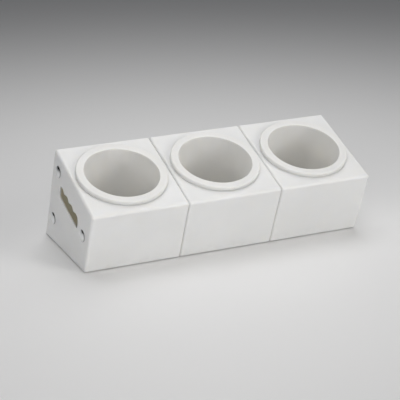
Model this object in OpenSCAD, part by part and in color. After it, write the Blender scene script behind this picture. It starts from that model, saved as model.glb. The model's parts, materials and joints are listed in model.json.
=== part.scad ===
// Cutlery stand: three identical tilted housings, bolted side by side in a row. Each housing carries
// a round cup that hangs by its flange in the sloped top face and lifts straight out.
// X runs along the row, the front faces -Y, and the feet stand on Z = 0 below the middle of the row.

/* [Cup] */
// Inside diameter of the mouth
mouth_d = 111.4; // [95:0.1:130]
// Inside depth, from the top of the flange to the floor
cup_depth = 112; // [85:1:130]
// Wall thickness of the cup
cup_wall = 2.5; // [1.5:0.1:4]
// Floor thickness of the cup
cup_floor = 2.5; // [1.5:0.1:4]
// Draft of the cup wall in degrees
cup_draft = 1.5; // [0.5:0.1:3]
// Outside radius where the floor meets the wall
cup_corner_r = 8; // [5:0.5:12]
// Width of the flange, from the mouth to its outer side
flange_w = 12.3; // [9:0.1:16]
// Height of the flange above the sloped face
flange_h = 6.5; // [5:0.1:9]
// Radius of the outer top edge of the flange
flange_edge_r = 2.2; // [1:0.1:4]
// Radius of the edge of the mouth
mouth_edge_r = 1.2; // [0.5:0.1:2]

/* [Housing] */
// Angle of the sloped top face to the table in degrees
tilt = 20.4; // [14:0.1:27]
// Wall thickness of the housing
wall_t = 3; // [2:0.1:4]
// Radius of the outer edges
edge_r = 4; // [2:0.1:6]
// Margin from the flange to each side of the housing
side_margin = 7; // [4:0.1:20]
// Margin from the flange to the front and back edges of the sloped face
face_margin = 13.5; // [8:0.1:30]
// Radial clearance of the cup in its hole
cup_clear = 0.7; // [0.4:0.1:1.5]
// Height of the lowest point of the cup above the table
ground_clear = 7.5; // [4:0.1:20]

/* [Hand slots] */
// Length of a hand slot along the slope
slot_len = 80; // [70:1:95]
// Height of a hand slot at the top of a scallop
slot_h = 22.5; // [19:0.5:30]
// Depth of the top of the slot below the sloped face
slot_drop = 39.5; // [38:0.5:50]
// Shift of the slot towards the back from the middle of the face
slot_shift = 5.8; // [0:0.1:10]
// Radius of the ends of the slot
slot_end_r = 9; // [5:0.5:9.5]
// Number of finger scallops
fingers = 4; // [3:1:5]
// Height of a scallop
scallop_h = 4; // [2:0.1:5]
// Radius of the ridges between the scallops
ridge_r = 3.5; // [2:0.1:5]

/* [Bolts] */
// Thread diameter of the bolts
bolt_d = 6; // [5:0.5:8]
// Diameter of the dome heads
head_d = 18; // [14:0.1:20]
// Height of the dome heads
head_h = 2.8; // [2:0.1:5]
// Height of the straight edge of a head
head_edge_h = 0.6; // [0.3:0.1:1]
// Length of thread past the nut where two walls are clamped
thread_past = 3.4; // [2:0.1:8]
// Clearance around the square necks
neck_clear = 0.2; // [0.1:0.05:0.5]
// Radial clearance of the washers and nuts on the thread
thread_clear = 0.1; // [0.05:0.05:0.3]
// Diameter of the washers
washer_d = 18; // [14:0.5:20]
// Thickness of the washers
washer_t = 1.6; // [1:0.1:2.5]
// Width of the nuts across flats
nut_w = 10; // [9:0.5:13]
// Height of the nuts
nut_h = 5; // [4:0.5:7]
// Distance of the front bolt from the front edge of the side
front_bolt_in = 25.2; // [20:0.1:34]
// Depth of the front bolt below the sloped face
front_bolt_drop = 53.5; // [40:0.5:65]
// Distance of the back bolts from the back edge of the side
back_bolt_in = 24.3; // [18:0.1:28]
// Depth of the upper back bolt below the sloped face
top_bolt_drop = 25; // [20:0.5:28]
// Height of the lower back bolt above the bottom edge, along the back wall
low_bolt_up = 40; // [35:0.5:60]

/* [Feet] */
// Height of the feet below the housings
foot_h = 1.5; // [1:0.1:4]
// Diameter of the feet
foot_d = 11; // [9:0.5:12]
// Radius of the lower edge of the feet
foot_edge_r = 0.5; // [0.2:0.1:0.8]
// Diameter of the stem of a foot
stem_d = 5; // [4:0.1:6]
// Length of the stem of a foot
stem_len = 8; // [5:0.5:12]
// Clearance of a stem in its hole
stem_clear = 0.1; // [0.05:0.05:0.3]
// Wall of the boss around a stem
boss_wall = 3.4; // [2.5:0.1:4]
// Distance of the feet from the front and back bottom edges
foot_in = 28; // [20:0.5:40]

/* [Hidden] */
$fn = 96;
eps = 0.5;
far = 400;
arc_steps = 8;
scallop_steps = 16;

modules = ["left", "middle", "right"];
ends = ["left", "right"];
corners = ["front_left", "front_right", "back_left", "back_right"];

// Cup, with its heights measured up from the sloped face
seat_gap = 0.1;
mouth_r = mouth_d / 2;
flange_r = mouth_r + flange_w;
cup_bottom = flange_h - cup_depth - cup_floor;
function cup_in(height) = mouth_r - (flange_h - height) * tan(cup_draft);
function cup_out(height) = cup_in(height) + cup_wall / cos(cup_draft);
floor_arc_h = cup_bottom + cup_corner_r;
floor_arc_x = cup_out(floor_arc_h) - cup_corner_r / cos(cup_draft);
hole_r = cup_out(0) + cup_clear;

// Housing, with the front top edge of the slope as the origin of the tilted frame
housing_w = 2 * (flange_r + side_margin);
face_len = 2 * (flange_r + face_margin);
top_edge_z = ground_clear + cup_corner_r - (face_len / 2 - floor_arc_x) * sin(tilt) - floor_arc_h * cos(tilt);
front_len = (top_edge_z - foot_h) / cos(tilt);
base_len = face_len / cos(tilt);
lean = front_len * sin(tilt);
round_back = edge_r * (cos(tilt) + sin(tilt) - 1);
top_edge_y = -(round_back + lean + base_len) / 2;
base_front_y = top_edge_y + lean;
base_back_y = base_front_y + base_len;
back_len = front_len + face_len * tan(tilt);

// Hand slots
slot_start = face_len / 2 + slot_shift - slot_len / 2;
half_pitch = slot_len / fingers / 2;
lobe_r = (half_pitch ^ 2 + scallop_h ^ 2) / (2 * scallop_h) - ridge_r;
lobe_reach = half_pitch * lobe_r / (lobe_r + ridge_r);

// Fasteners, with the places of the bolts as distance along the slope and depth below it
bolt_len = 2 * wall_t + washer_t + nut_h + thread_past;
neck_len = wall_t - neck_clear;
dome_rise = head_h - head_edge_h;
dome_r = (head_d ^ 2 / 4 + dome_rise ^ 2) / (2 * dome_rise);
bolt_places = [
    [front_bolt_in, -front_bolt_drop],
    [face_len - back_bolt_in, -top_bolt_drop],
    [face_len - back_bolt_in, low_bolt_up - back_len + back_bolt_in * tan(tilt)],
];

// Feet
stem_hole_r = stem_d / 2 + stem_clear;
boss_r = stem_hole_r + boss_wall;
boss_bite = 1;
boss_roof = 2;
boss_x = housing_w / 2 - wall_t - boss_r + boss_bite;
boss_h = stem_len + stem_clear + boss_roof;
foot_places = [
    [-boss_x, base_front_y + foot_in],
    [boss_x, base_front_y + foot_in],
    [-boss_x, base_back_y - foot_in],
    [boss_x, base_back_y - foot_in],
];

// Points along an arc about a centre, from one angle to another
function arc(centre, r, from, to) = [
    for (i = [0:arc_steps])
        let (a = from + (to - from) * i / arc_steps)
        centre + r * [cos(a), sin(a)]
];

// Fall of the scalloped edge below its crest, at a distance from the middle of a finger
function scallop(u) =
    u < lobe_reach
        ? sqrt(lobe_r ^ 2 - u ^ 2) - lobe_r
        : ridge_r - scallop_h - sqrt(ridge_r ^ 2 - (half_pitch - u) ^ 2);

// Places a shape in the tilted frame: X along the row, Y up the slope, Z out of the sloped face
module tilted() {
    translate([0, top_edge_y, top_edge_z])
        rotate([tilt, 0, 0])
            children();
}

// Stands a drawing of the side, slope across and height up, square to the row
module across_row(length) {
    translate([-length / 2, 0, 0])
        rotate([90, 0, 90])
            linear_extrude(length)
                children();
}

// Rectangle with round corners
module rounded_rect(from, to, r) {
    translate([from[0] + r, from[1]])
        square([to[0] - from[0] - 2 * r, to[1] - from[1]]);
    translate([from[0], from[1] + r])
        square([to[0] - from[0], to[1] - from[1] - 2 * r]);
    for (x = [from[0] + r, to[0] - r], y = [from[1] + r, to[1] - r])
        translate([x, y])
            circle(r);
}

// Tilted block of the housing, with round edges and a bottom that runs on past the table
module housing_block() {
    half = housing_w / 2;
    intersection() {
        across_row(housing_w)
            rounded_rect([0, -far], [face_len, 0], edge_r);
        translate([0, 0, -far])
            linear_extrude(far)
                rounded_rect([-half, 0], [half, face_len], edge_r);
        translate([0, face_len, 0])
            rotate([90, 0, 0])
                linear_extrude(face_len)
                    rounded_rect([-half, -far], [half, 0], edge_r);
    }
}

// Outline of a hand slot: scallops along the top, a straight lower edge and round ends
module slot_outline() {
    bottom = -slot_drop - slot_h;
    steps = fingers * scallop_steps;
    intersection() {
        rounded_rect([slot_start, bottom], [slot_start + slot_len, -slot_drop], slot_end_r);
        polygon(concat(
            [[slot_start + slot_len, bottom], [slot_start, bottom]],
            [
                for (i = [0:steps])
                    let (along = slot_len * i / steps)
                    let (u = abs(along % (2 * half_pitch) - half_pitch))
                    [slot_start + along, scallop(u) - slot_drop]
            ]
        ));
    }
}

// Bosses under the housing that take the stems of the feet
module foot_bosses() {
    for (p = foot_places)
        translate([p[0], p[1], foot_h])
            cylinder(r = boss_r, h = boss_h);
}

// One moulded shell, open underneath
module housing() {
    neck_hole = bolt_d + 2 * neck_clear;
    color([0.9, 0.9, 0.89])
        difference() {
            union() {
                difference() {
                    tilted()
                        housing_block();
                    tilted()
                        translate([-housing_w / 2 + wall_t, wall_t, -far - wall_t])
                            cube([housing_w - 2 * wall_t, face_len - 2 * wall_t, far]);
                    translate([-housing_w, -far, foot_h - 2 * far])
                        cube([2 * housing_w, 2 * far, 2 * far]);
                }
                foot_bosses();
            }
            tilted() {
                translate([0, face_len / 2, -wall_t - eps])
                    cylinder(r = hole_r, h = wall_t + 2 * eps);
                across_row(housing_w + 2 * eps)
                    slot_outline();
                for (p = bolt_places)
                    across_row(housing_w + 2 * eps)
                        translate(p)
                            square(neck_hole, center = true);
            }
            for (p = foot_places)
                translate([p[0], p[1], foot_h - eps])
                    cylinder(r = stem_hole_r, h = stem_len + stem_clear + eps);
        }
}

// Round cup: a drafted wall, a floor and a flange turned down to its seat
module cup() {
    under = flange_h - cup_wall;
    skirt_r = flange_r - cup_wall;
    rim_arc_h = flange_h - mouth_edge_r;
    rim_arc_x = cup_in(rim_arc_h) + mouth_edge_r / cos(cup_draft);
    inner_r = cup_corner_r - cup_wall;
    inner_arc_h = cup_bottom + cup_floor + inner_r;
    inner_arc_x = cup_in(inner_arc_h) - inner_r / cos(cup_draft);
    color([0.87, 0.87, 0.86])
        tilted()
            translate([0, face_len / 2, 0])
                rotate_extrude()
                    polygon(concat(
                        [[0, cup_bottom]],
                        arc([floor_arc_x, floor_arc_h], cup_corner_r, -90, -cup_draft),
                        [[cup_out(under), under], [skirt_r, under]],
                        [[skirt_r, seat_gap], [flange_r, seat_gap]],
                        arc([flange_r - flange_edge_r, flange_h - flange_edge_r], flange_edge_r, 0, 90),
                        arc([rim_arc_x, rim_arc_h], mouth_edge_r, 90, 180 - cup_draft),
                        arc([inner_arc_x, inner_arc_h], inner_r, -cup_draft, -90),
                        [[0, cup_bottom + cup_floor]]
                    ));
}

// Rubber foot: a disc under the boss and a stem in it
module foot() {
    color([0.25, 0.25, 0.26])
        rotate_extrude()
            polygon(concat(
                [[0, 0]],
                arc([foot_d / 2 - foot_edge_r, foot_edge_r], foot_edge_r, -90, 0),
                [[foot_d / 2, foot_h], [stem_d / 2, foot_h]],
                [[stem_d / 2, foot_h + stem_len], [0, foot_h + stem_len]]
            ));
}

// Places a shape that points along +X at each bolt of a wall whose outer face is at x
module at_bolts(x) {
    tilted()
        for (p = bolt_places)
            translate([x, p[0], p[1]])
                rotate([0, 90, 0])
                    children();
}

// Dome-head bolt with a square neck: the head is below the clamped face and the thread above it
module bolt() {
    color([0.82, 0.83, 0.84]) {
        intersection() {
            translate([0, 0, -head_h])
                cylinder(d = head_d, h = head_h);
            translate([0, 0, dome_r - head_h])
                sphere(dome_r);
        }
        translate([-bolt_d / 2, -bolt_d / 2, 0])
            cube([bolt_d, bolt_d, neck_len]);
        cylinder(d = bolt_d, h = bolt_len);
    }
}

// Plain washer that lies on the inside of a wall
module washer() {
    color([0.72, 0.73, 0.74])
        difference() {
            cylinder(d = washer_d, h = washer_t);
            translate([0, 0, -eps])
                cylinder(r = bolt_d / 2 + thread_clear, h = washer_t + 2 * eps);
        }
}

// Hexagon nut that lies on its washer
module nut() {
    color([0.68, 0.69, 0.7])
        translate([0, 0, washer_t])
            difference() {
                cylinder(d = nut_w / cos(30), h = nut_h, $fn = 6);
                translate([0, 0, -eps])
                    cylinder(r = bolt_d / 2 + thread_clear, h = nut_h + 2 * eps);
            }
}

// Moves a shape to one of the three places in the row
module in_row(i) {
    translate([(i - 1) * housing_w, 0, 0])
        children();
}

// Turns the fasteners of the left half round for the right half
module on_side(i) {
    mirror([i, 0, 0])
        children();
}

for (i = [0:2]) {
    in_row(i)
            housing();
    in_row(i)
            cup();
    for (c = [0:3])
        in_row(i)
                translate(foot_places[c])
                    foot();
}

row_end = -1.5 * housing_w;
seam = -0.5 * housing_w;
for (i = [0:1])
    on_side(i) {
        at_bolts(row_end)
                bolt();
        at_bolts(row_end + wall_t)
                washer();
        at_bolts(row_end + wall_t)
                nut();
        at_bolts(seam - wall_t)
                bolt();
        at_bolts(seam + wall_t)
                washer();
        at_bolts(seam + wall_t)
                nut();
    }
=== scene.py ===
import json
import math
import bmesh
import bpy
from mathutils import Matrix, Vector


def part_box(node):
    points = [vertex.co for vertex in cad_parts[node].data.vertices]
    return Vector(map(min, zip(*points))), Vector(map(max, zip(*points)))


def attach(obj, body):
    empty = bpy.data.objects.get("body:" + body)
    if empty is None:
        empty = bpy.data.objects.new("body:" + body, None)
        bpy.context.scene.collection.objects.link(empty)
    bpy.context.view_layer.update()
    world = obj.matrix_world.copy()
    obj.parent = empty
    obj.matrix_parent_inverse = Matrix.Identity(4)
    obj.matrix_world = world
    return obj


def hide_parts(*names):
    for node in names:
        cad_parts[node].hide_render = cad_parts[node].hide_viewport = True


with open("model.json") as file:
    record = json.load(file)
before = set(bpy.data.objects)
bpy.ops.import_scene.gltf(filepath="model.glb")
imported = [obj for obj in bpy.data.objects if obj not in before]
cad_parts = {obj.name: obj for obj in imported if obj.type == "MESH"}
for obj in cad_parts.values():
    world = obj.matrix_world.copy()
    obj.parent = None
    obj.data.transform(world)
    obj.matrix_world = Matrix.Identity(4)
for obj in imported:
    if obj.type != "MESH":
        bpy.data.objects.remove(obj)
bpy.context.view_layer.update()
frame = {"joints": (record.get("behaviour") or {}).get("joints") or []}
mm = 0.001
sliver = 2e-6  # corners nearer than this are one corner
easing = 0.995  # roundings stop just short of the next one
scene = bpy.context.scene

# The row: three modules side by side, and the sloped face that everything is laid out on
row = {
    "modules": ("left", "middle", "right"),
    "pitch": 150 * mm,
    "faceLength": 163 * mm,
    "edgeRadius": 4 * mm,
    "wall": 3 * mm,
}
liftAxis = Vector(frame["joints"][0]["axis"])
tilt = math.atan2(-liftAxis.y, liftAxis.z)
rise = math.sin(tilt)
run = math.cos(tilt)
housingLow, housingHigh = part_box("housing_middle")
footHeight = housingLow.z
slopeY = housingLow.y - row["edgeRadius"] * (run + rise - 1)
slopeZ = housingHigh.z - (row["faceLength"] - row["edgeRadius"]) * rise - row["edgeRadius"] * (1 - run)
slope = Matrix.Translation((0, slopeY, slopeZ)) @ Matrix.Rotation(tilt, 4, "X")
toSlope = slope.inverted()
faceMiddle = Matrix.Translation((0, row["faceLength"] / 2, 0))
moduleX = {name: (k - 1) * row["pitch"] for k, name in enumerate(row["modules"])}
sharpAngle = math.radians(38)  # edges that fold by more than this stay sharp


class Tap:  # an output socket that can be used in sums
    def __init__(self, finish, socket):
        self.finish = finish
        self.socket = socket

    def sum(self, operation, first, second):
        return self.finish.add("ShaderNodeMath", {"operation": operation}, {0: first, 1: second})

    def __add__(self, other):
        return self.sum("ADD", self, other)

    def __radd__(self, other):
        return self.sum("ADD", other, self)

    def __sub__(self, other):
        return self.sum("SUBTRACT", self, other)

    def __rsub__(self, other):
        return self.sum("SUBTRACT", other, self)

    def __mul__(self, other):
        return self.sum("MULTIPLY", self, other)

    def __rmul__(self, other):
        return self.sum("MULTIPLY", other, self)


class Finish:  # one material or world and the nodes in it
    def __init__(self, owner):
        self.owner = owner
        owner.use_nodes = True
        self.tree = owner.node_tree
        self.tree.nodes.clear()

    def add(self, kind, settings, sockets, out=0):
        node = self.tree.nodes.new(kind)
        for key, value in settings.items():
            if key == "stops":
                for spot, colour in value[1:-1]:
                    node.color_ramp.elements.new(spot)
                for element, (spot, colour) in zip(node.color_ramp.elements, value):
                    element.position = spot
                    element.color = colour + (1,)
            else:
                setattr(node, key, value)
        for key, value in sockets.items():
            if isinstance(value, Tap):
                self.tree.links.new(value.socket, node.inputs[key])
            else:
                node.inputs[key].default_value = value
        return Tap(self, node.outputs[out]) if len(node.outputs) else None


def noise(finish, scale, detail=2.0, stretch=(1, 1, 1), turn=(0, 0, 0)):
    place = finish.add("ShaderNodeTexCoord", {}, {}, "Object")
    laid = finish.add("ShaderNodeMapping", {}, {"Vector": place, "Scale": stretch, "Rotation": turn})
    return finish.add("ShaderNodeTexNoise", {}, {"Vector": laid, "Scale": scale, "Detail": detail})


def height(finish):
    place = finish.add("ShaderNodeTexCoord", {}, {}, "Object")
    return finish.add("ShaderNodeSeparateXYZ", {}, {0: place}, "Z")


def fade(finish, value, start, end, first=0.0, last=1.0):
    sockets = {0: value, 1: start, 2: end, 3: first, 4: last}
    return finish.add("ShaderNodeMapRange", {"interpolation_type": "SMOOTHSTEP"}, sockets)


def tint(finish, share, under, over):  # under is a colour or an earlier tint
    first = under if isinstance(under, Tap) else under + (1,)
    sockets = {0: share, 6: first, 7: over + (1,)}
    return finish.add("ShaderNodeMix", {"data_type": "RGBA"}, sockets, 2)


def bumps(finish, strength, depth, shape):
    return finish.add("ShaderNodeBump", {}, {"Strength": strength, "Distance": depth, "Height": shape})


def close(finish, sockets):
    shader = finish.add("ShaderNodeBsdfPrincipled", {}, sockets)
    finish.add("ShaderNodeOutputMaterial", {}, {"Surface": shader})
    return finish.owner


def mouldedPlastic(name, look):
    finish = Finish(bpy.data.materials.new(name))
    drift = noise(finish, 11, 3)  # slow drift of the tint over a panel
    grain = noise(finish, 1500, 2)  # spark-eroded grain of the mould
    flow = noise(finish, 130, 3, (1, 1, 0.25))  # faint flow of the moulding
    rubs = fade(finish, noise(finish, 85, 4, (1, 7, 1), (0.4, 0.3, 0.5)), 0.63, 0.74)
    wipes = fade(finish, noise(finish, 70, 4, (6, 1, 1), (0.2, 0.6, 0.3)), 0.64, 0.75)
    lowDown = fade(finish, height(finish), 1 * mm, 22 * mm, 1.0, 0.0)
    dust = lowDown * fade(finish, noise(finish, 75, 4), 0.4, 0.75)
    colour = tint(finish, fade(finish, drift, 0.3, 0.7), look["pale"], look["deep"])
    colour = tint(finish, dust * look["dust"], colour, look["dustColour"])
    rough = look["rough"] + (drift - 0.5) * 0.09 + (flow - 0.5) * 0.05 + (rubs + wipes) * look["rubbed"]
    relief = grain * 0.6 + flow * 0.8 - (rubs + wipes) * 0.25
    bump = bumps(finish, look["relief"], 0.06 * mm, relief)
    return close(finish, {
        "Base Color": colour,
        "Roughness": rough,
        "Normal": bump,
        "IOR": 1.49,
        "Subsurface Weight": look["milky"],
        "Subsurface Scale": 12 * mm,
        "Subsurface Radius": (1.0, 0.93, 0.8),
        "Coat Weight": look["coat"],
        "Coat Roughness": 0.18,
    })


housingLook = {
    "pale": (0.832, 0.83, 0.815),
    "deep": (0.8, 0.797, 0.78),
    "dust": 0.14,
    "dustColour": (0.5, 0.48, 0.44),
    "rough": 0.36,
    "rubbed": 0.07,
    "relief": 0.35,
    "coat": 0.12,
    "milky": 0.6,
}
cupLook = {
    "pale": (0.835, 0.826, 0.795),
    "deep": (0.8, 0.791, 0.76),
    "dust": 0.0,
    "dustColour": (0.5, 0.48, 0.44),
    "rough": 0.34,
    "rubbed": 0.1,
    "relief": 0.3,
    "coat": 0.1,
    "milky": 0.6,
}
# Painted light: a paler copy of the cup plastic on the cup's outside below the flange, lifting the
# shade seen through the hand slot
cupBodyLitLook = {
    "pale": (0.872, 0.86, 0.828),
    "deep": (0.837, 0.824, 0.79),
    "dust": 0.0,
    "dustColour": (0.5, 0.48, 0.44),
    "rough": 0.44,
    "rubbed": 0.1,
    "relief": 0.5,
    "coat": 0.05,
    "milky": 0.6,
}
# Painted shade: the inner faces of the shell get this warmer copy of the housing plastic, which stands
# in for the warm bounced shade inside the hollow
innerShadeLook = {
    "pale": (0.95, 0.877, 0.72),
    "deep": (0.91, 0.832, 0.67),
    "dust": 0.25,
    "dustColour": (0.5, 0.46, 0.38),
    "rough": 0.6,
    "rubbed": 0.05,
    "relief": 0.8,
    "coat": 0.0,
    "milky": 0.95,
}


def polishedSteel(name, look):
    finish = Finish(bpy.data.materials.new(name))
    drift = noise(finish, 260, 3)
    hairs = noise(finish, 900, 3, (0.15, 1, 1), (0.3, 0.2, 0.6))
    nicks = fade(finish, noise(finish, 700, 2), 0.68, 0.78)
    colour = tint(finish, fade(finish, drift, 0.3, 0.7), look["pale"], look["deep"])
    rough = look["rough"] + (drift - 0.5) * 0.06 + (hairs - 0.5) * 0.05 + nicks * 0.08
    bump = bumps(finish, 0.2, 0.02 * mm, hairs - nicks * 0.6)
    return close(finish, {"Base Color": colour, "Metallic": 1.0, "Roughness": rough, "Normal": bump})


def platedSteel(name, look):
    finish = Finish(bpy.data.materials.new(name))
    place = finish.add("ShaderNodeTexCoord", {}, {}, "Object")
    spangle = finish.add("ShaderNodeTexVoronoi", {}, {"Vector": place, "Scale": 1300.0}, "Color")
    grey = finish.add("ShaderNodeRGBToBW", {}, {0: spangle})
    stain = fade(finish, noise(finish, 320, 4), 0.45, 0.7)
    colour = tint(finish, grey, look["pale"], look["deep"])
    colour = tint(finish, stain * 0.35, colour, look["stain"])
    rough = look["rough"] + (grey - 0.5) * 0.1 + stain * 0.12
    bump = bumps(finish, 0.25, 0.03 * mm, noise(finish, 2600, 2))
    return close(finish, {"Base Color": colour, "Metallic": 1.0, "Roughness": rough, "Normal": bump})


def footRubber(name, look):
    finish = Finish(bpy.data.materials.new(name))
    mottle = fade(finish, noise(finish, 500, 4), 0.35, 0.7)
    dust = fade(finish, noise(finish, 900, 3), 0.5, 0.8) * 0.35
    colour = tint(finish, mottle, look["dark"], look["worn"])
    colour = tint(finish, dust, colour, look["dust"])
    bump = bumps(finish, 0.5, 0.08 * mm, noise(finish, 2200, 3))
    return close(finish, {"Base Color": colour, "Roughness": 0.72 + mottle * 0.16, "Normal": bump})


housingPlastic = mouldedPlastic("housingPlastic", housingLook)
cupPlastic = mouldedPlastic("cupPlastic", cupLook)
cupBodyLitPlastic = mouldedPlastic("cupBodyLitPlastic", cupBodyLitLook)
innerShadePlastic = mouldedPlastic("innerShadePlastic", innerShadeLook)
headSteel = polishedSteel("headSteel", {
    "pale": (0.9, 0.903, 0.905),
    "deep": (0.84, 0.843, 0.85),
    "rough": 0.07,
})
# Painted shade: the rim of each head is dull steel, coloured this dark to paint the outline of shadow
# and dark reflection round the head
rimShadeSteel = polishedSteel("rimShadeSteel", {
    "pale": (0.3, 0.3, 0.305),
    "deep": (0.2, 0.2, 0.205),
    "rough": 0.38,
})
washerSteel = platedSteel("washerSteel", {
    "pale": (0.66, 0.67, 0.68),
    "deep": (0.54, 0.55, 0.565),
    "stain": (0.42, 0.41, 0.38),
    "rough": 0.32,
})
nutSteel = platedSteel("nutSteel", {
    "pale": (0.61, 0.62, 0.63),
    "deep": (0.5, 0.51, 0.52),
    "stain": (0.38, 0.37, 0.34),
    "rough": 0.36,
})
rubber = footRubber("rubber", {
    "dark": (0.03, 0.03, 0.031),
    "worn": (0.07, 0.07, 0.072),
    "dust": (0.2, 0.19, 0.18),
})
print("finishes mixed")


def newPiece(name, bm, body, node, slot, *materials):
    for face in bm.faces:
        face.smooth = True
    for edge in bm.edges:
        edge.smooth = edge.calc_face_angle(0) < sharpAngle
    mesh = bpy.data.meshes.new(name)
    bm.to_mesh(mesh)
    bm.free()
    piece = bpy.data.objects.new(name, mesh)
    scene.collection.objects.link(piece)
    for material in materials:
        mesh.materials.append(material)
    weighted = piece.modifiers.new("weighted", "WEIGHTED_NORMAL")
    weighted.keep_sharp = True
    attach(piece, body)
    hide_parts(node)


def join(bm, other):  # moves the shapes of the second mesh into the first
    mesh = bpy.data.meshes.new("working")
    other.to_mesh(mesh)
    other.free()
    bm.from_mesh(mesh)
    bpy.data.meshes.remove(mesh)


def combine(base, tool, operation):  # cut, join or keep the common part of two closed meshes
    working = []
    for bm in (base, tool):
        mesh = bpy.data.meshes.new("working")
        bm.to_mesh(mesh)
        bm.free()
        working.append(bpy.data.objects.new("working", mesh))
        scene.collection.objects.link(working[-1])
    cut = working[0].modifiers.new("cut", "BOOLEAN")
    cut.object = working[1]
    cut.operation = operation
    cut.solver = "EXACT"
    result = bmesh.new()
    result.from_object(working[0], bpy.context.evaluated_depsgraph_get())
    for piece in working:
        bpy.data.meshes.remove(piece.data)
    bmesh.ops.remove_doubles(result, verts=result.verts, dist=sliver)
    bmesh.ops.dissolve_degenerate(result, edges=result.edges, dist=sliver)
    return result


def block(size, middle):
    bm = bmesh.new()
    bmesh.ops.create_cube(bm, size=1)
    bmesh.ops.scale(bm, vec=size, verts=bm.verts)
    bmesh.ops.translate(bm, vec=middle, verts=bm.verts)
    return bm


def rod(radius, length, sides, place):
    bm = bmesh.new()
    bmesh.ops.create_cone(bm, cap_ends=True, segments=sides, radius1=radius, radius2=radius,
                          depth=length, matrix=place)
    return bm


def roundCorner(bm, vert, radius, segments):
    arms = [edge.other_vert(vert).co - vert.co for edge in vert.link_edges]
    reach = radius / math.tan(arms[0].angle(arms[1]) / 2)
    bmesh.ops.bevel(bm, geom=[vert], offset=reach, offset_type="ABSOLUTE", affect="VERTICES",
                    segments=segments, profile=0.5, material=-1, clamp_overlap=False)


def outline(corners, place):  # a flat face from (first, second, rounding, segments) corners in mm
    bm = bmesh.new()
    verts = [bm.verts.new(place(corner[0] * mm, corner[1] * mm)) for corner in corners]
    bm.faces.new(verts)
    for vert, corner in zip(verts, corners):
        if len(corner) > 2:
            roundCorner(bm, vert, corner[2] * mm, corner[3])
    return bm


def lathe(corners, steps):  # turns a cross-section of (radius, height) corners round the Z axis
    bm = outline(corners, lambda radius, along: (radius, 0, along))
    bmesh.ops.delete(bm, geom=bm.faces[:], context="FACES_ONLY")
    for edge in [e for e in bm.edges if max(abs(v.co.x) for v in e.verts) < sliver]:  # on the axis
        bm.edges.remove(edge)
    bmesh.ops.spin(bm, geom=bm.verts[:] + bm.edges[:], cent=(0, 0, 0), axis=(0, 0, 1),
                   angle=2 * math.pi, steps=steps, use_merge=True)
    bmesh.ops.remove_doubles(bm, verts=bm.verts, dist=sliver)
    bmesh.ops.recalc_face_normals(bm, faces=bm.faces)
    return bm


# Housing: a moulded shell with a sloped top, open underneath
housing = {
    "width": 150 * mm,
    "insideRadius": 1.2 * mm,
    "edgeSegments": 8,
    "insideSegments": 6,
    "blockDepth": 300 * mm,
    "holeRadius": 58.73 * mm,
    "holeCut": 12 * mm,
    "holeSteps": 160,
    "slotStart": 47.3,  # plain mm from here to ridgeRadius, as outline takes them
    "slotLength": 80,
    "slotTop": -39.5,
    "slotHeight": 22.5,
    "slotEndRadius": 9,
    "fingers": 4,
    "scallopHeight": 4,
    "ridgeRadius": 3.5,
    "slotRim": 0.7 * mm,
    "footRim": 0.45 * mm,
    "rimBand": 1.5 * mm,
    "rimSegments": 3,
    "slotOvercut": 3 * mm,
    "slotFold": 1.0,  # radians, as is footFold
    "footFold": 0.8,
    "neckHole": 6.4 * mm,
    "neckOvercut": 5 * mm,
    "bossRadius": 6 * mm,
    "bossHeight": 10.1 * mm,
    "bossSteps": 40,
    "stemHole": 2.6 * mm,
    "stemDepth": 8.1 * mm,
    "stemSteps": 24,
}
boltSpots = ((25.2, -53.5), (138.7, -25.0), (138.7, -113.84))  # along the slope and below it, in mm
cornerNames = ("front_left", "front_right", "back_left", "back_right")


def footSpot(module, corner):
    low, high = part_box("foot_%s_%s" % (module, corner))
    return (low + high) / 2


def openBlock(inset, radius, segments):  # tilted block with round edges, cut off level above the table
    width = housing["width"] - 2 * inset
    length = row["faceLength"] - 2 * inset
    depth = housing["blockDepth"]
    bm = block((width, length, depth), (0, row["faceLength"] / 2, -inset - depth / 2))
    rims = [e for e in bm.edges if max(v.co.z for v in e.verts) > -depth / 2]
    bmesh.ops.bevel(bm, geom=rims, offset=radius, offset_type="OFFSET", affect="EDGES",
                    segments=segments, profile=0.5, material=-1)
    bm.transform(slope)
    everything = bm.verts[:] + bm.edges[:] + bm.faces[:]
    bmesh.ops.bisect_plane(bm, geom=everything, plane_co=(0, 0, footHeight), plane_no=(0, 0, -1),
                           clear_outer=True)
    return bm


def handSlot():  # scallops along the top and round ends, right through both walls
    start = housing["slotStart"]
    end = start + housing["slotLength"]
    top = housing["slotTop"]
    bottom = top - housing["slotHeight"]
    half = housing["slotLength"] / housing["fingers"] / 2
    ridge = housing["ridgeRadius"]
    lobe = (half ** 2 + housing["scallopHeight"] ** 2) / (2 * housing["scallopHeight"]) - ridge
    lean = math.asin(half / (lobe + ridge))
    crest = top + lobe * (1 / math.cos(lean) - 1)
    dip = top - housing["scallopHeight"] - ridge * (1 / math.cos(lean) - 1)
    shoulder = half + lobe * math.tan(lean / 2)
    endRadius = housing["slotEndRadius"]
    corners = [(start, bottom, endRadius, 8), (start, top, endRadius, 8)]
    corners.append((start + shoulder, top, lobe, 4))
    for k in range(1, housing["fingers"]):
        corners.append((start + 2 * k * half, dip, ridge * easing, 6))
        if k < housing["fingers"] - 1:
            corners.append((start + (2 * k + 1) * half, crest, lobe * easing, 10))
    corners += [(end - shoulder, top, lobe, 4), (end, top, endRadius, 8), (end, bottom, endRadius, 8)]
    reach = housing["width"] / 2 + housing["slotOvercut"]
    bm = outline(corners, lambda along, up: (-reach, along, up))
    far = bmesh.ops.extrude_face_region(bm, geom=bm.faces[:])["geom"]
    farVerts = [v for v in far if isinstance(v, bmesh.types.BMVert)]
    bmesh.ops.translate(bm, vec=(2 * reach, 0, 0), verts=farVerts)
    bmesh.ops.recalc_face_normals(bm, faces=bm.faces)
    bm.transform(slope)
    return bm


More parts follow.
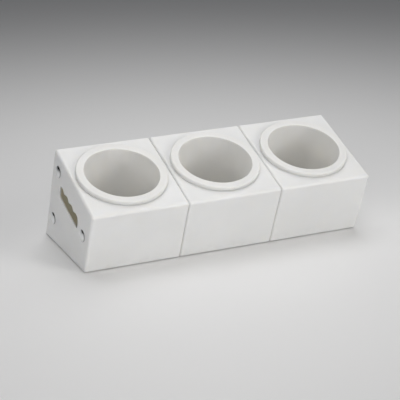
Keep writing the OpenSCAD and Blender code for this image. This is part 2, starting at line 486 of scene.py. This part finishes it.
def makeHousing():
    shell = openBlock(0, row["edgeRadius"], housing["edgeSegments"])
    inside = openBlock(row["wall"], housing["insideRadius"], housing["insideSegments"])
    bmesh.ops.reverse_faces(inside, faces=inside.faces)
    # the inner faces take the warm tint of painted shade
    for face in inside.faces:
        face.material_index = 1
    join(shell, inside)
    bmesh.ops.bridge_loops(shell, edges=[e for e in shell.edges if e.is_boundary])
    spots = [footSpot("middle", corner) for corner in cornerNames]
    bosses = bmesh.new()
    for spot in spots:
        lift = Matrix.Translation((spot.x, spot.y, footHeight + housing["bossHeight"] / 2))
        join(bosses, rod(housing["bossRadius"], housing["bossHeight"], housing["bossSteps"], lift))
    # the bosses inside take the same painted shade tint
    for face in bosses.faces:
        face.material_index = 1
    shell = combine(shell, bosses, "UNION")
    cutter = handSlot()
    mouth = rod(housing["holeRadius"], housing["holeCut"], housing["holeSteps"], slope @ faceMiddle)
    join(cutter, mouth)
    through = housing["width"] + 2 * housing["neckOvercut"]
    for along, up in boltSpots:
        hole = block((through, housing["neckHole"], housing["neckHole"]), (0, along * mm, up * mm))
        hole.transform(slope)
        join(cutter, hole)
    for spot in spots:
        lift = Matrix.Translation((spot.x, spot.y, footHeight))
        join(cutter, rod(housing["stemHole"], 2 * housing["stemDepth"], housing["stemSteps"], lift))
    return combine(shell, cutter, "DIFFERENCE")


def onSlotRim(edge):  # a fold in the wall within 1 mm of the slot
    if len(edge.link_faces) != 2 or edge.calc_face_angle(0) < housing["slotFold"]:
        return False
    slotEnd = housing["slotStart"] + housing["slotLength"]
    slotFloor = housing["slotTop"] - housing["slotHeight"]
    for vert in edge.verts:
        spot = toSlope @ vert.co / mm
        along = housing["slotStart"] - 1 < spot.y < slotEnd + 1
        if not along or not slotFloor - 1 < spot.z < housing["slotTop"] + 1:
            return False
    return True


def onFootRim(edge):  # a fold along the outer foot of the walls
    if len(edge.link_faces) != 2 or edge.calc_face_angle(0) < housing["footFold"]:
        return False
    band = housing["rimBand"]
    for vert in edge.verts:
        spot = toSlope @ vert.co
        inner = abs(spot.x) < housing["width"] / 2 - band and band < spot.y < row["faceLength"] - band
        if inner or abs(vert.co.z - footHeight) > 5 * sliver:
            return False
    return True


def softenRims(bm):
    for test, radius in ((onSlotRim, housing["slotRim"]), (onFootRim, housing["footRim"])):
        rims = [e for e in bm.edges if test(e)]
        bmesh.ops.bevel(bm, geom=rims, offset=radius, offset_type="OFFSET", affect="EDGES",
                        segments=housing["rimSegments"], profile=0.5, material=-1, clamp_overlap=False)
        print("rim edges softened:", len(rims))


housingMesh = makeHousing()
softenRims(housingMesh)
for module in row["modules"]:
    bm = housingMesh.copy()
    bmesh.ops.translate(bm, vec=(moduleX[module], 0, 0), verts=bm.verts)
    node = "housing_" + module
    newPiece("shell_" + module, bm, "stand", node, "housing_plastic", housingPlastic, innerShadePlastic)
housingMesh.free()
print("housings made")

# Cup, in mm: a drafted wall and floor, and a thick flange turned down to its seat
cup = {
    "mouth": 55.7,
    "depth": 112,
    "wall": 2.5,
    "draft": math.tan(math.radians(1.5)),
    "corner": 8,
    "flange": 68,
    "flangeHeight": 6.5,
    "flangeEdge": 2.2,
    "mouthEdge": 1.2,
    "neckEdge": 0.8,
    "skirtRoot": 0.5,
    "seatGap": 0.1,
    "seatInner": 0.3,
    "seatOuter": 0.4,
    "bodyTop": 4.2,  # below this and within the next, the paler body tone, painted light that lifts the shade seen through the slot
    "bodyReach": 64,
    "steps": 180,
}


def makeCup():
    top = cup["flangeHeight"]
    wall = cup["wall"]
    floor = top - cup["depth"]
    bottom = floor - wall
    under = top - wall

    def inside(along):
        return cup["mouth"] - (top - along) * cup["draft"]

    skirt = cup["flange"] - wall
    return lathe([
        (0, bottom),
        (inside(bottom) + wall, bottom, cup["corner"], 8),
        (inside(under) + wall, under, cup["neckEdge"], 3),
        (skirt, under, cup["skirtRoot"], 3),
        (skirt, cup["seatGap"], cup["seatInner"], 2),
        (cup["flange"], cup["seatGap"], cup["seatOuter"], 3),
        (cup["flange"], top, cup["flangeEdge"], 7),
        (inside(top), top, cup["mouthEdge"], 5),
        (inside(floor), floor, cup["corner"] - wall, 7),
        (0, floor),
    ], cup["steps"])


cupMesh = makeCup()
# the cup's outside below the flange takes the paler tone of painted light
for face in cupMesh.faces:
    spot = face.calc_center_median() / mm
    face.material_index = int(spot.z < cup["bodyTop"] and spot.xy.length < cup["bodyReach"])
for module in row["modules"]:
    bm = cupMesh.copy()
    bm.transform(Matrix.Translation((moduleX[module], 0, 0)) @ slope @ faceMiddle)
    node = "cup_" + module
    newPiece("beaker_" + module, bm, node, node, "cup_plastic", cupPlastic, cupBodyLitPlastic)
cupMesh.free()
print("cups made")

# Feet, in mm: a rubber disc under each boss, with a stem pressed into it
foot = {
    "radius": 5.5,
    "height": 1.5,
    "edge": 0.5,
    "topEdge": 0.2,
    "stem": 2.5,
    "stemLength": 8,
    "stemEdge": 0.6,
    "steps": 48,
}
footMesh = lathe([
    (0, 0),
    (foot["radius"], 0, foot["edge"], 4),
    (foot["radius"], foot["height"], foot["topEdge"], 2),
    (foot["stem"], foot["height"]),
    (foot["stem"], foot["height"] + foot["stemLength"], foot["stemEdge"], 3),
    (0, foot["height"] + foot["stemLength"]),
], foot["steps"])
for module in row["modules"]:
    for corner in cornerNames:
        spot = footSpot(module, corner)
        bm = footMesh.copy()
        bmesh.ops.translate(bm, vec=(spot.x, spot.y, 0), verts=bm.verts)
        name = "%s_%s" % (module, corner)
        newPiece("glide_" + name, bm, "stand", "foot_" + name, "foot_rubber", rubber)
footMesh.free()
print("feet made")

# Bolts, in mm: a polished dome head, a square neck and a cut thread
bolt = {
    "head": 9.0,
    "headHeight": 2.8,
    "headEdge": 0.5,
    "rimTop": 0.12,
    "rimFoot": 0.15,
    # below this depth the head is coloured dark as painted shade
    "rimShadeDepth": 0.78,
    "shank": 3.0,
    "length": 16,
    "tipHeight": 0.3,
    "tipInset": 0.5,
    "neck": 2.8,
    "neckEdge": 0.35,
    "collar": 0.4,
    "coreStart": 0.9,
    "pitch": 1.0,
    "threadStart": 0.7,
    "threadStop": 0.4,
    "threadDepth": 0.55,
    "threadRoot": 0.15,
    "turnSteps": 28,
    "steps": 72,
}


def makeBolt():
    crown = bolt["headHeight"] - bolt["headEdge"]
    dome = (bolt["head"] ** 2 + crown ** 2) / (2 * crown)
    lean = math.asin(bolt["head"] / dome)
    core = bolt["shank"] - bolt["threadDepth"]
    bm = lathe([
        (0, -bolt["headHeight"]),
        (dome * math.tan(lean / 2), -bolt["headHeight"], dome * easing, 16),
        (bolt["head"], -bolt["headEdge"], bolt["rimTop"], 3),
        (bolt["head"], 0, bolt["rimFoot"], 3),
        (bolt["shank"], 0),
        (bolt["shank"], bolt["neck"] + bolt["collar"]),
        (core, bolt["neck"] + bolt["coreStart"]),
        (core, bolt["length"] - bolt["tipHeight"]),
        (core - bolt["tipInset"], bolt["length"]),
        (0, bolt["length"]),
    ], bolt["steps"])
    for face in bm.faces:  # only the dome is polished; the dull rim below it and the shank are coloured dark, painted shade for the outline round each head
        face.material_index = int(face.calc_center_median().z > -bolt["rimShadeDepth"] * mm)
    side = 2 * bolt["shank"] * mm
    neck = block((side, side, bolt["neck"] * mm), (0, 0, bolt["neck"] * mm / 2))
    bmesh.ops.bevel(neck, geom=neck.edges[:], offset=bolt["neckEdge"] * mm, offset_type="OFFSET",
                    affect="EDGES", segments=2, profile=0.5, material=-1)
    for part in (neck, makeThread(core)):
        for face in part.faces:
            face.material_index = 1
        join(bm, part)
    return bm


def makeThread(core):  # one pitch of the thread form, wound up the shank
    pitch = bolt["pitch"]
    start = bolt["neck"] + bolt["threadStart"]
    turns = int(bolt["length"] - start - bolt["threadStop"] - pitch)
    perTurn = bolt["turnSteps"]
    root = core - bolt["threadRoot"]
    form = ((root, 0.02), (bolt["shank"], 0.43), (bolt["shank"], 0.57), (root, 0.98))  # radius, share
    bm = bmesh.new()
    verts = [bm.verts.new((radius * mm, 0, (start + share * pitch) * mm)) for radius, share in form]
    for first, second in zip(verts, verts[1:] + verts[:1]):
        bm.edges.new((first, second))
    bmesh.ops.spin(bm, geom=bm.verts[:] + bm.edges[:], cent=(0, 0, 0), axis=(0, 0, 1),
                   angle=2 * math.pi * turns, steps=turns * perTurn,
                   dvec=(0, 0, pitch * mm / perTurn), use_merge=False)
    bmesh.ops.holes_fill(bm, edges=[e for e in bm.edges if e.is_boundary], sides=len(form))
    bmesh.ops.recalc_face_normals(bm, faces=bm.faces)
    return bm


# Washer and nut on the inside of the wall, in mm
washer = {
    "radius": 9.0,
    "bore": 3.1,
    "thickness": 1.6,
    "edge": 0.25,
    "steps": 64,
}
nut = {
    "flats": 10.0,
    "height": 5.0,
    "bore": 3.1,
    "sink": 0.35,
    "chamfer": 0.62,
    "faceInset": 0.15,
    "cornerRoom": 0.2,
    "steps": 72,
}


def makeWasher():
    edge = washer["edge"]
    return lathe([
        (washer["bore"], 0, edge, 2),
        (washer["radius"], 0, edge, 3),
        (washer["radius"], washer["thickness"], edge, 3),
        (washer["bore"], washer["thickness"], edge, 2),
    ], washer["steps"])


def makeNut():
    low = washer["thickness"]
    high = low + nut["height"]
    wide = nut["flats"] / math.sqrt(3)
    outer = wide + nut["cornerRoom"]
    face = nut["flats"] / 2 - nut["faceInset"]
    ring = lathe([
        (nut["bore"] + nut["sink"], low),
        (face, low),
        (outer, low + nut["chamfer"]),
        (outer, high - nut["chamfer"]),
        (face, high),
        (nut["bore"] + nut["sink"], high),
        (nut["bore"], high - nut["sink"]),
        (nut["bore"], low + nut["sink"]),
    ], nut["steps"])
    ring.transform(Matrix.Rotation(math.pi / nut["steps"], 4, "Z"))
    middle = Matrix.Translation((0, 0, (low + high) / 2 * mm))
    return combine(rod(wide * mm, (nut["height"] + 1) * mm, 6, middle), ring, "INTERSECT")


def setOfThree(one, side, wallX):  # one fastener at each bolt spot of a wall, pointing inwards
    bm = bmesh.new()
    for along, up in boltSpots:
        copy = one.copy()
        place = Matrix.Translation((side * wallX, along * mm, up * mm))
        copy.transform(slope @ place @ Matrix.Rotation(-side * math.pi / 2, 4, "Y"))
        join(bm, copy)
    return bm


wallFaces = {  # outer face that the heads clamp, and the face that the washers lie on
    "end": (1.5 * row["pitch"], 1.5 * row["pitch"] - row["wall"]),
    "seam": (0.5 * row["pitch"] + row["wall"], 0.5 * row["pitch"] - row["wall"]),
}
fasteners = {  # mesh, which of the two wall faces it lies on, slot and finishes
    "Bolts": (makeBolt(), 0, "bolt_steel", (headSteel, rimShadeSteel)),
    "Washers": (makeWasher(), 1, "washer_steel", (washerSteel,)),
    "Nuts": (makeNut(), 1, "nut_steel", (nutSteel,)),
}
for place, wallX in wallFaces.items():
    for side, end in ((-1, "left"), (1, "right")):
        for kind, (one, which, slot, finishes) in fasteners.items():
            three = setOfThree(one, side, wallX[which])
            node = "%s_%s_%s" % (place, kind.lower(), end)
            newPiece("%s%s_%s" % (place, kind, end), three, "stand", node, slot, *finishes)
for one, which, slot, finishes in fasteners.values():
    one.free()
print("fasteners made")

# Floor, light and camera
stageSet = {
    "floorSize": 14.0,
    "floorColour": (0.775, 0.779, 0.788, 1),
    "floorRough": 0.6,
    "lampAim": Vector((0, 0, 0.06)),
    "roomLight": 0.3,
    "roomStops": (  # from the horizon up to the ceiling
        (0.0, (0.02, 0.021, 0.023)),
        (0.45, (0.04, 0.042, 0.046)),
        (0.9, (0.9, 0.91, 0.93)),
    ),
}
floorMesh = bmesh.new()
bmesh.ops.create_grid(floorMesh, x_segments=1, y_segments=1, size=stageSet["floorSize"] / 2)
floorData = bpy.data.meshes.new("floor")
floorMesh.to_mesh(floorData)
floorMesh.free()
floor = bpy.data.objects.new("floor", floorData)
scene.collection.objects.link(floor)
floorFinish = Finish(bpy.data.materials.new("floorPaper"))
floorLook = {"Base Color": stageSet["floorColour"], "Roughness": stageSet["floorRough"]}
floorData.materials.append(close(floorFinish, floorLook))

room = Finish(bpy.data.worlds.new("studio"))  # dim walls and a pale ceiling
gaze = room.add("ShaderNodeTexCoord", {}, {}, "Generated")
upward = room.add("ShaderNodeSeparateXYZ", {}, {0: gaze}, "Z")
roomColour = room.add("ShaderNodeValToRGB", {"stops": stageSet["roomStops"]}, {0: upward})
glow = room.add("ShaderNodeBackground", {}, {"Color": roomColour, "Strength": stageSet["roomLight"]})
room.add("ShaderNodeOutputWorld", {}, {"Surface": glow})
scene.world = room.owner

lamps = {  # place, size across and up, spread, power, colour
    "overhead": ((0.0, 0.3, 2.0), (1.6, 1.6), 70, 4.2, (1.0, 0.99, 0.975)),
    "backRight": ((0.9, 1.3, 1.7), (1.5, 1.2), 70, 1.2, (1.0, 0.995, 0.985)),
    "frontRight": ((1.3, -2.0, 1.2), (1.6, 1.2), 50, 2.2, (1.0, 0.98, 0.945)),
    "lowRight": ((2.1, -2.85, 0.65), (2.4, 0.7), 60, 4.25, (1.0, 0.98, 0.945)),
    "sideLeft": ((-3.1, -1.55, 0.78), (1.7, 1.0), 50, 2.5, (1.0, 0.985, 0.965)),
    "frontLeft": ((-0.9, -1.2, 0.7), (0.7, 0.7), 70, 0.72, (1.0, 0.98, 0.95)),
}
for name, (place, size, spread, power, colour) in lamps.items():
    light = bpy.data.lights.new(name, "AREA")
    light.shape = "RECTANGLE"
    light.size = size[0]
    light.size_y = size[1]
    light.spread = math.radians(spread)
    light.energy = power
    light.color = colour
    lamp = bpy.data.objects.new(name, light)
    lamp.location = place
    gazeDown = stageSet["lampAim"] - Vector(place)
    lamp.rotation_euler = gazeDown.to_track_quat("-Z", "Y").to_euler()
    lamp.visible_camera = False
    scene.collection.objects.link(lamp)

view = {
    "place": (-0.8561, -1.8236, 0.7907),
    "turn": 24.873,
    "down": 20.036,
    "roll": 0.318,
    "lens": 126.03,
    "sensor": 36,
}
cameraData = bpy.data.cameras.new("camera")
cameraData.lens = view["lens"]
cameraData.sensor_width = view["sensor"]
cameraData.clip_end = 100
camera = bpy.data.objects.new("camera", cameraData)
scene.collection.objects.link(camera)
camera.matrix_world = (
    Matrix.Translation(view["place"])
    @ Matrix.Rotation(-math.radians(view["turn"]), 4, "Z")
    @ Matrix.Rotation(math.radians(90 - view["down"]), 4, "X")
    @ Matrix.Rotation(math.radians(view["roll"]), 4, "Z")
)
scene.camera = camera
scene.view_settings.view_transform = "Standard"
print("stage set")
